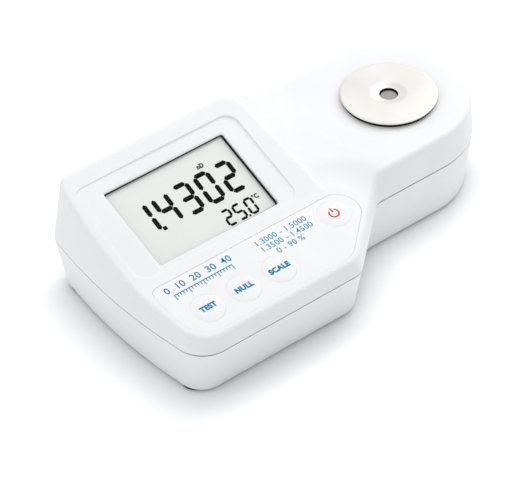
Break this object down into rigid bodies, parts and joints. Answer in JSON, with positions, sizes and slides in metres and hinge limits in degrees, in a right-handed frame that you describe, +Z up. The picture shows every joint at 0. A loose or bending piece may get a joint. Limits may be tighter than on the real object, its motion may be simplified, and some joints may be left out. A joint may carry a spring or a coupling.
{
  "type": "refractometer",
  "caption": "Portable digital sugar refractometer: white case with a tilted display, membrane keypad and a round steel sample well at one end.",
  "frame": {"origin": "middle of the case's footprint, on the surface that the feet stand on", "axes": "+X along the case from the display to the sample well, +Y away from the user to the back, +Z up"},
  "size_m": [0.192, 0.102, 0.058],
  "materials": {
    "case_abs": "fine satin texture",
    "overlay_film": "satin",
    "key_white": "satin",
    "black_rubber": "matt",
    "window_clear": "clear",
    "lcd_glass": "grey reflective panel",
    "carrier_black": "matt",
    "silicone_strip": "matt",
    "board_green": "solder mask",
    "chip_black": "matt",
    "screw_steel": "plated",
    "polished_steel": "bright satin",
    "nut_brass": "machined",
    "prism_glass": "polished",
    "optics_black": "matt",
    "lamp_clear": "clear",
    "lens_glass": "polished",
    "sensor_black": "gloss",
    "bead_brown": "gloss",
    "battery_casing": "satin",
    "cup_abs": "satin",
    "lead_red": "satin",
    "lead_black": "satin",
    "ribbon_film": "gloss"
  },
  "bodies": {
    "case": {"battery": "battery_casing", "battery_cup": "cup_abs", "battery_lead_black": "lead_black", "battery_lead_red": "lead_red", "battery_snap": "chip_black", "case_screw_1": "screw_steel", "case_screw_2": "screw_steel", "case_screw_3": "screw_steel", "case_screw_4": "screw_steel", "case_screw_5": "screw_steel", "case_screw_6": "screw_steel", "case_seal": "black_rubber", "collimating_lens": "lens_glass", "display_window": "window_clear", "foot_back_left": "black_rubber", "foot_front_left": "black_rubber", "foot_front_right": "black_rubber", "foot_well": "black_rubber", "image_sensor": "sensor_black", "keypad_board": "board_green", "keypad_board_screw_1": "screw_steel", "keypad_board_screw_2": "screw_steel", "keypad_board_screw_3": "screw_steel", "keypad_overlay": "overlay_film", "keypad_ribbon": "ribbon_film", "lamp": "lamp_clear", "lamp_board": "board_green", "lcd_carrier": "carrier_black", "lcd_contact_strip_back": "silicone_strip", "lcd_contact_strip_front": "silicone_strip", "lcd_panel": "lcd_glass", "lower_case": "case_abs", "main_board": "board_green", "main_board_screw_1": "screw_steel", "main_board_screw_2": "screw_steel", "main_board_screw_3": "screw_steel", "main_board_screw_4": "screw_steel", "optics_housing": "optics_black", "optics_ribbon": "ribbon_film", "prism": "prism_glass", "prism_seal": "black_rubber", "processor": "chip_black", "sensor_board": "board_green", "switch_left": "chip_black", "switch_middle": "chip_black", "switch_power": "chip_black", "switch_right": "chip_black", "temperature_sensor": "bead_brown", "upper_case": "case_abs", "well_gasket": "black_rubber", "well_nut": "nut_brass", "well_ring": "polished_steel", "window_gasket": "black_rubber"},
    "battery_cover": {"battery_cover": "case_abs", "cover_seal": "black_rubber"},
    "key_left": {"key_left": "key_white"},
    "key_middle": {"key_middle": "key_white"},
    "key_right": {"key_right": "key_white"},
    "key_power": {"key_power": "key_white"}
  },
  "joints": [
    {"name": "key_left_press", "type": "slide", "parent": "case", "child": "key_left", "axis": [0, 0.1357, -0.9907], "range_m": [0, 0.0004], "stiffness_N_per_m": 1500, "springref_m": -0.0006},
    {"name": "key_middle_press", "type": "slide", "parent": "case", "child": "key_middle", "axis": [0, 0.1357, -0.9907], "range_m": [0, 0.0004], "stiffness_N_per_m": 1500, "springref_m": -0.0006},
    {"name": "key_right_press", "type": "slide", "parent": "case", "child": "key_right", "axis": [0, 0.1357, -0.9907], "range_m": [0, 0.0004], "stiffness_N_per_m": 1500, "springref_m": -0.0006},
    {"name": "key_power_press", "type": "slide", "parent": "case", "child": "key_power", "axis": [0, 0.1357, -0.9907], "range_m": [0, 0.0004], "stiffness_N_per_m": 1500, "springref_m": -0.0006},
    {"name": "battery_cover_turn", "type": "hinge", "parent": "case", "child": "battery_cover", "pos_m": [-0.046, 0.004, 0.0026], "axis": [0, 0, -1], "range_deg": [0, 60]}
  ]
}
